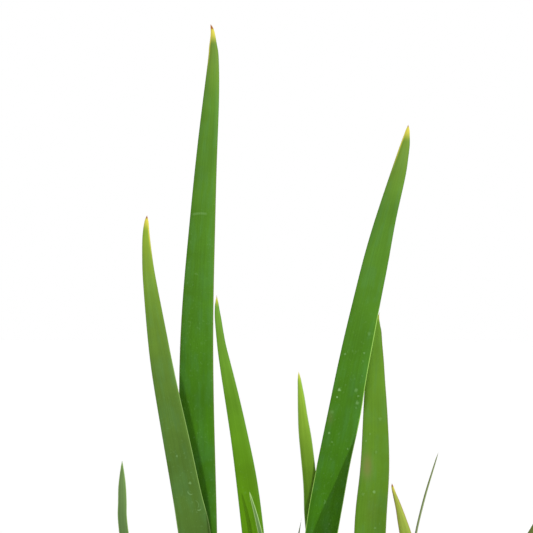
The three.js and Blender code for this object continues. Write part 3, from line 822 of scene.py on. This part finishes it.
# The tall leaves: the green, the margins, the margin that is yellow near the tip (-1 the left, 1 the right),
# and the lengths at the tip that have turned yellow and brown, in millimetres.
TALL = {
    "a1": ("deep", "olive", -1, 5.5, 2.4),
    "b1": ("dusky", "soft", 1, 3.6, 1.6),
    "c1": ("lush", "moss", 0, 1.6, 1.0),
    "d1": ("greyish", "soft", 0, 0, 0),
    "e1": ("light", "bright", 0, 0, 0),
    "f1": ("yellowing", "soft", 0, 1.0, 0),
    "g1": ("deep", "pale", -1, 3.6, 0.9),
    "h1": ("fresh", "olive", 0, 0.8, 0),
    "i1": ("ripe", "brown", 0, 2.0, 1.6),
    "i2": ("aged", "olive", 0, 0, 0),
    "j1": ("sallow", "olive", 0, 0, 0),
    "k1": ("sallow", "olive", 0, 0, 0),
}
# Painted light and shade across a blade, for the shade that neighbouring blades throw on one side: how much
# lighter it is at its right margin than in its middle, as a share
PAINTED_SIDE_SHADE = {"a1": 0.04, "b1": -0.05, "c1": -0.08, "h1": -0.12}
# The upper green comes in slowly from this height to the tip, by this power, and more slowly on b1
LOWER_GREEN_TOP = 275 * MM
USUAL_ONSET = 1.9
ONSET = {"b1": 2.8}
# The shorter leaves: their greens, the most that the tip has turned yellow, and the lengths turned brown
SHORT_SHADES = ("deep", "fresh", "dusky")
SHORT_YELLOW = 5
SHORT_BROWN = (0, 0, 1.5, 2.5)
# Blotches on old leaves: x and z of the middle, half width and half height in millimetres, and strength
BLOTCHES = {
    "g1": [(15.8, 333, 2.2, 4.5, 0.35)],
    "h1": [(34, 309, 3, 7, 0.7), (36, 288, 5, 12, 0.2)],
}

for node in sorted(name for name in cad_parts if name.startswith("leaf_")):
    which = node.split("_")[1]
    middle = which.endswith("1")
    piece = solid_copy(node, f"blade_{which}")
    heights = points_of(piece.data)[:, 2]
    foot, tip = float(heights.min()), float(heights.max())
    smooth_blade(piece, middle, MIDDLE_LEVELS if middle else OUTER_LEVELS)
    fill_blade(piece, foot, tip)
    mesh = piece.data
    draw = random.Random(which)
    short = (
        draw.choice(SHORT_SHADES), "soft", 0, draw.uniform(0, SHORT_YELLOW), draw.choice(SHORT_BROWN)
    )
    shade_name, rim, gilt, yellow, brown = TALL.get(which, short)
    upper, lower = (np.array(linear(code)) for code in SHADES[shade_name])
    # The margin colour: aged olive and brown, or painted light on the pale ones
    margin = np.array(linear(AGED_AND_LIT_RIMS[rim]))
    low = min(LOWER_GREEN_TOP, (foot + tip) / 2)
    points = points_of(mesh)
    share = np.clip((points[:, 2] - low) / (tip - low), 0, 1)[:, None]
    share = share ** ONSET.get(which, USUAL_ONSET)
    across = read_value(mesh, "across")[:, None]
    # The blade's green, with the painted shade across it from the table above
    green = (lower + (upper - lower) * share) * (1 + PAINTED_SIDE_SHADE.get(which, 0) * across)
    left, right = MARGIN_FROM.get(which, (-MARGIN_FADE, -MARGIN_FADE))
    below = read_value(mesh, "down")[:, None] - np.where(across > 0, right, left)
    sound = np.clip(below / MARGIN_FADE, 0, 1)
    for label, colours in (("tone", green), ("rim", green + (margin - green) * sound)):
        held = mesh.attributes.new(label, "FLOAT_COLOR", "POINT")
        held.data.foreach_set("color", np.ravel(colours).astype(np.float32))
    bloom = shade_name in BLOOMED
    for label, value in (("gilt", gilt), ("yellow", yellow), ("brown", brown), ("bloom", bloom)):
        write_value(mesh, label, np.full(len(points), value))
    blotch = np.zeros(len(points))
    for x, z, wide, tall, strength in BLOTCHES.get(which, []):
        away = ((points[:, 0] / MM - x) / wide) ** 2 + ((points[:, 2] / MM - z) / tall) ** 2
        blotch = np.maximum(blotch, strength * np.exp(-away))
    write_value(mesh, "blotch", blotch)
    mesh.materials.append(leaf_skin)
    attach(piece, "root")
    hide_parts(node)

# Marks on the tall leaves: pale specks where hard water dried, small scuffs, and a crease. Each is a film
# thinner than paper on the blade's own surface, which fades into the leaf's colour at its edge.
# A place is x and z in millimetres, as seen from the camera against the plane through the pot's axis.
FILM_LIFT = 0.05 * MM
FILM_THICKNESS = 0.04 * MM
LINE_STEP = 0.3
LINE_END = 1.0
LINE_ACROSS = (-1, -0.3, 0.3, 1)
SPECK_SIDES = 12
# The rings of a speck from its middle out: the share of its radius, and how strong it is there
SPECK_RINGS = ((0.05, 0.7), (0.4, 0.7), (0.75, 0.4), (1.2, 0))
SPECK_RAGGED = (0.65, 1.3)
SPECK_SEED = 31
# x, z, width and strength of each speck
SPECKS = {
    "b1": [
        (-60.8, 313.5, 1.5, 0.5), (-54.3, 300, 1.9, 0.5), (-64.3, 279.5, 1.4, 0.3), (-57, 306, 1.2, 0.15),
    ],
    "g1": [
        (35.3, 374.5, 2.2, 0.3), (23.3, 364.5, 1.4, 0.5), (32.8, 365, 1.4, 0.45), (32.2, 361, 1.6, 0.25),
        (20.3, 346.5, 2, 0.75), (19.3, 343, 1.2, 0.85), (28.8, 346.5, 2.2, 0.4), (29.8, 343.5, 1.5, 0.45),
        (29.3, 340, 2.2, 0.45), (28.8, 337.6, 1.6, 0.3), (31.8, 353.5, 1.3, 0.3), (16.8, 335.5, 2.6, 0.3),
        (15.3, 325, 1.4, 0.6), (16.8, 320.5, 1.3, 0.4), (16.3, 312, 1.6, 0.25), (24.5, 317, 1.1, 0.5),
        (15.3, 279.5, 1.4, 0.3),
    ],
    "h1": [
        (40.8, 332, 2.2, 0.3), (35.8, 324.5, 1.4, 0.35), (33.8, 321, 1.2, 0.5), (38.8, 315.5, 1.8, 0.3),
        (37.8, 295.5, 1.8, 0.55), (32.3, 294.5, 2, 0.3), (38.3, 277.5, 1.4, 0.4),
    ],
}
# The places along each scuff or crease, then its width and strength
LINES = {
    "a1": [([(-53.3, 434.2), (-50.8, 434.7), (-48, 434.8), (-45.5, 434.4)], 2.0, 0.32)],
    "b1": [
        ([(-55.2, 296.4), (-54.9, 294.8), (-53.8, 294.2), (-52.8, 295)], 0.8, 0.5),
        ([(-52, 291.3), (-50.6, 290.6), (-49.9, 288.9), (-50.8, 287.4)], 0.8, 0.3),
        ([(-51, 286.8), (-49.6, 286.4), (-48.6, 287.4)], 0.9, 0.55),
    ],
    "g1": [([(12.6, 292), (13.3, 290.5), (12.4, 289.2)], 0.8, 0.4)],
}


def lay_on(piece, x, z):
    """The point of the blade seen at a place, just above its skin, with what its material reads there."""
    start = Vector(CAMERA_PLACE)
    aim = (Vector((x * MM, 0, z * MM)) - start).normalized()
    hit, spot, normal, face = piece.ray_cast(start, aim)
    if not hit:
        return None
    mesh = piece.data
    corners = mesh.polygons[face].vertices
    shares = poly_3d_calc([mesh.vertices[v].co for v in corners], spot)
    values = {
        name: sum(share * mesh.attributes[name].data[v].value for share, v in zip(shares, corners))
        for name in CARRIED
    }
    for name in ("tone", "rim"):
        mixed = sum(
            (share * Vector(mesh.attributes[name].data[v].color) for share, v in zip(shares, corners)),
            Vector((0, 0, 0, 0)),
        )
        values[name] = mixed
    return spot + normal * FILM_LIFT, values


film = {"points": [], "faces": [], "values": {}}


def film_of(piece, rings, closed):
    """A film across rows of (x, z, strength), each row as long as the next, laid on the blade."""
    placed = [[lay_on(piece, x, z) for x, z, _ in ring] for ring in rings]
    if any(point is None for ring in placed for point in ring):
        return
    start = len(film["points"])
    for ring, row in zip(placed, rings):
        for (spot, values), (_, _, strength) in zip(ring, row):
            film["points"].append(spot)
            for name, value in values.items():
                film["values"].setdefault(name, []).append(value)
            film["values"].setdefault("deposit", []).append(strength)
    count = len(rings[0])
    for i in range(len(rings) - 1):
        for k in range(count if closed else count - 1):
            a, b = start + i * count + k, start + i * count + (k + 1) % count
            film["faces"].append((a, a + count, b + count, b))
    if closed:
        film["faces"].append(tuple(range(start, start + count)))


def line_through(places):
    """Points about 0.3 mm apart on a smooth line through the places."""
    sides = np.array(places).T
    length = np.concatenate(([0], np.cumsum(np.hypot(*np.diff(sides)))))
    steps = np.linspace(0, length[-1], int(length[-1] / LINE_STEP) + 2)
    return np.array([np.polyval(np.polyfit(length, side, len(places) - 1), steps) for side in sides]).T


draw = random.Random(SPECK_SEED)
for which, specks in SPECKS.items():
    blade = bpy.data.objects[f"blade_{which}"]
    for x, z, width, strength in specks:
        turns = [2 * math.pi * k / SPECK_SIDES for k in range(SPECK_SIDES)]
        outline = [
            Vector((math.cos(turn), math.sin(turn))) * draw.uniform(*SPECK_RAGGED) * width / 2
            for turn in turns
        ]
        rings = [
            [(x + reach * out.x, z + reach * out.y, level * strength) for out in outline]
            for reach, level in SPECK_RINGS
        ]
        film_of(blade, rings, True)
for which, lines in LINES.items():
    blade = bpy.data.objects[f"blade_{which}"]
    for places, width, strength in lines:
        rings = []
        points = line_through(places)
        last = len(points) - 1
        for i, (x, z) in enumerate(points):
            along = Vector(points[min(i + 1, last)] - points[max(i - 1, 0)]).normalized()
            level = strength * min(1, (min(i, last - i) + 0.5) * LINE_STEP / LINE_END)
            rings.append([
                (x - along.y * side * width / 2, z + along.x * side * width / 2, level * (1 - abs(side)))
                for side in LINE_ACROSS
            ])
        film_of(blade, rings, False)
mesh = bpy.data.meshes.new("water_marks")
mesh.from_pydata(film["points"], [], film["faces"])
for name, values in film["values"].items():
    if name in ("tone", "rim"):
        held = mesh.attributes.new(name, "FLOAT_COLOR", "POINT")
        held.data.foreach_set("color", np.ravel(values).astype(np.float32))
    else:
        write_value(mesh, name, values)
marks = bpy.data.objects.new("water_marks", mesh)
bpy.context.collection.objects.link(marks)
pick(marks)
thick = marks.modifiers.new("thick", "SOLIDIFY")
thick.thickness = FILM_THICKNESS
thick.offset = -1
bpy.ops.object.modifier_apply(modifier=thick.name)
bpy.ops.object.shade_smooth_by_angle(angle=SMOOTH_ANGLE)
mesh.materials.append(leaf_skin)
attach(marks, "root")

# Dry sheaths: what is left of a fan's oldest leaf. It has dried to a papery brown husk that still clasps the
# foot of the fan, creased along its old veins, crumpled, and torn at the top.
HUSK_LEVELS = 3
CRUMPLE = 0.45 * MM
CRUMPLE_SIZES = ((4.5 * MM, 1), (1.8 * MM, 0.5))
HELD_AT_FOOT = 8 * MM
TEAR = 5.0 * MM
TORN_LENGTH = 12 * MM
OLD_VEIN_SCALE = 1.6
OLD_VEIN_DRAWN = 0.06
AGED_SCALE = 160.0

# Dried sheath: tan and papery, streaked every 0.6 mm along its veins, patchy over 6 mm, and dark at the foot
husk_paper, tree, shader = new_material("dried leaf sheath, papery")
vein = add_node(tree, "ShaderNodeAttribute", attribute_name="vein").outputs["Fac"]
rise = add_node(tree, "ShaderNodeAttribute", attribute_name="rise").outputs["Fac"]
place = add_node(tree, "ShaderNodeTexCoord").outputs["Object"]
along = add_node(tree, "ShaderNodeMath", {0: rise, 1: OLD_VEIN_DRAWN}, operation="MULTIPLY").outputs[0]
line = add_node(tree, "ShaderNodeCombineXYZ", {"X": vein, "Y": along}).outputs[0]
old_veins = add_node(
    tree, "ShaderNodeTexNoise", {"Vector": line, "Scale": OLD_VEIN_SCALE, "Detail": 4.0, "Roughness": 0.6}
).outputs["Fac"]
patchy = add_node(
    tree, "ShaderNodeTexNoise", {"Vector": place, "Scale": AGED_SCALE, "Detail": 3.0}
).outputs["Fac"]
mixed = add_node(
    tree, "ShaderNodeMix", {"Factor": 0.4, 2: old_veins, 3: patchy}, data_type="FLOAT"
).outputs[0]
tan = add_node(
    tree, "ShaderNodeValToRGB", {"Fac": mixed}, stops=[(0.3, "#6f4e2c"), (0.7, "#d2b88a"), (0.48, "#a98655")]
).outputs["Color"]
low = add_node(tree, "ShaderNodeMapRange", {"Value": rise, "From Min": 12.0, "From Max": 0.0, "To Max": 0.7})
husk_colour = add_node(
    tree, "ShaderNodeMix", {"Factor": low.outputs["Result"], 6: tan, 7: linear("#4d3420")}, data_type="RGBA"
).outputs[2]
creases = add_node(tree, "ShaderNodeBump", {"Height": old_veins, "Strength": 0.6, "Distance": 0.3 * MM})
tree.links.new(husk_colour, shader.inputs["Base Color"])
tree.links.new(creases.outputs["Normal"], shader.inputs["Normal"])
shader.inputs["Roughness"].default_value = 0.75
shader.inputs["Specular IOR Level"].default_value = 0.3

for node in sorted(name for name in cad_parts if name.startswith("dry_sheath_")):
    husk = solid_copy(node, node.replace("dry_sheath", "husk"))
    mesh = husk.data
    heights = points_of(mesh)[:, 2]
    foot, tip = float(heights.min()), float(heights.max())
    smooth_blade(husk, False, HUSK_LEVELS)
    fill_blade(husk, foot, tip)
    points, outward = points_of(mesh), normals_of(mesh)
    across, down = read_value(mesh, "across"), read_value(mesh, "down") * MM
    for i, point in enumerate(points):
        fold = sum(share * noise.noise(Vector(point) / size) for size, share in CRUMPLE_SIZES)
        point += outward[i] * CRUMPLE * fold * min(1, (tip - foot - down[i]) / HELD_AT_FOOT)
        ragged = abs(noise.noise(Vector((across[i] * 3.1, ord(node[-1]), 0))))
        point[2] -= TEAR * ragged * max(0, 1 - down[i] / TORN_LENGTH)
    move_points(mesh, points)
    mesh.materials.append(husk_paper)
    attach(husk, "root")
    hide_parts(node)

# Floor: a plain pale studio floor, which isn't part of the object.
FLOOR_RADIUS = 12
FLOOR_PLACE = (0, 0, -0.3 * MM)

bpy.ops.mesh.primitive_circle_add(
    vertices=96, radius=FLOOR_RADIUS, fill_type="NGON", location=FLOOR_PLACE
)
floor = bpy.context.object
floor.name = "studio_floor"
floor_material, tree, shader = new_material("matt white studio floor")
shader.inputs["Base Color"].default_value = linear("#f3f3f3")
shader.inputs["Roughness"].default_value = 0.9
floor.data.materials.append(floor_material)

# Light: white surroundings, and one low lamp from the right of the camera that throws the blades'
# shadows on one another.
KEY_TURN = math.radians(45)
KEY_HEIGHT = math.radians(11)
KEY_WIDTH = math.radians(1.5)
KEY_STRENGTH = 2.1

world = bpy.data.worlds.new("white studio")
bpy.context.scene.world = world
world.use_nodes = True
world.node_tree.nodes["Background"].inputs["Color"].default_value = (1, 1, 1, 1)
world.node_tree.nodes["Background"].inputs["Strength"].default_value = 1.0
level = math.cos(KEY_HEIGHT)
towards = Vector((math.sin(KEY_TURN) * level, -math.cos(KEY_TURN) * level, math.sin(KEY_HEIGHT)))
bpy.ops.object.light_add(type="SUN", location=towards * 2)
key = bpy.context.object
key.name = "key_light"
key.rotation_euler = (-towards).to_track_quat("-Z", "Y").to_euler()
key.data.angle = KEY_WIDTH
key.data.energy = KEY_STRENGTH
bpy.context.scene.view_settings.view_transform = "Standard"
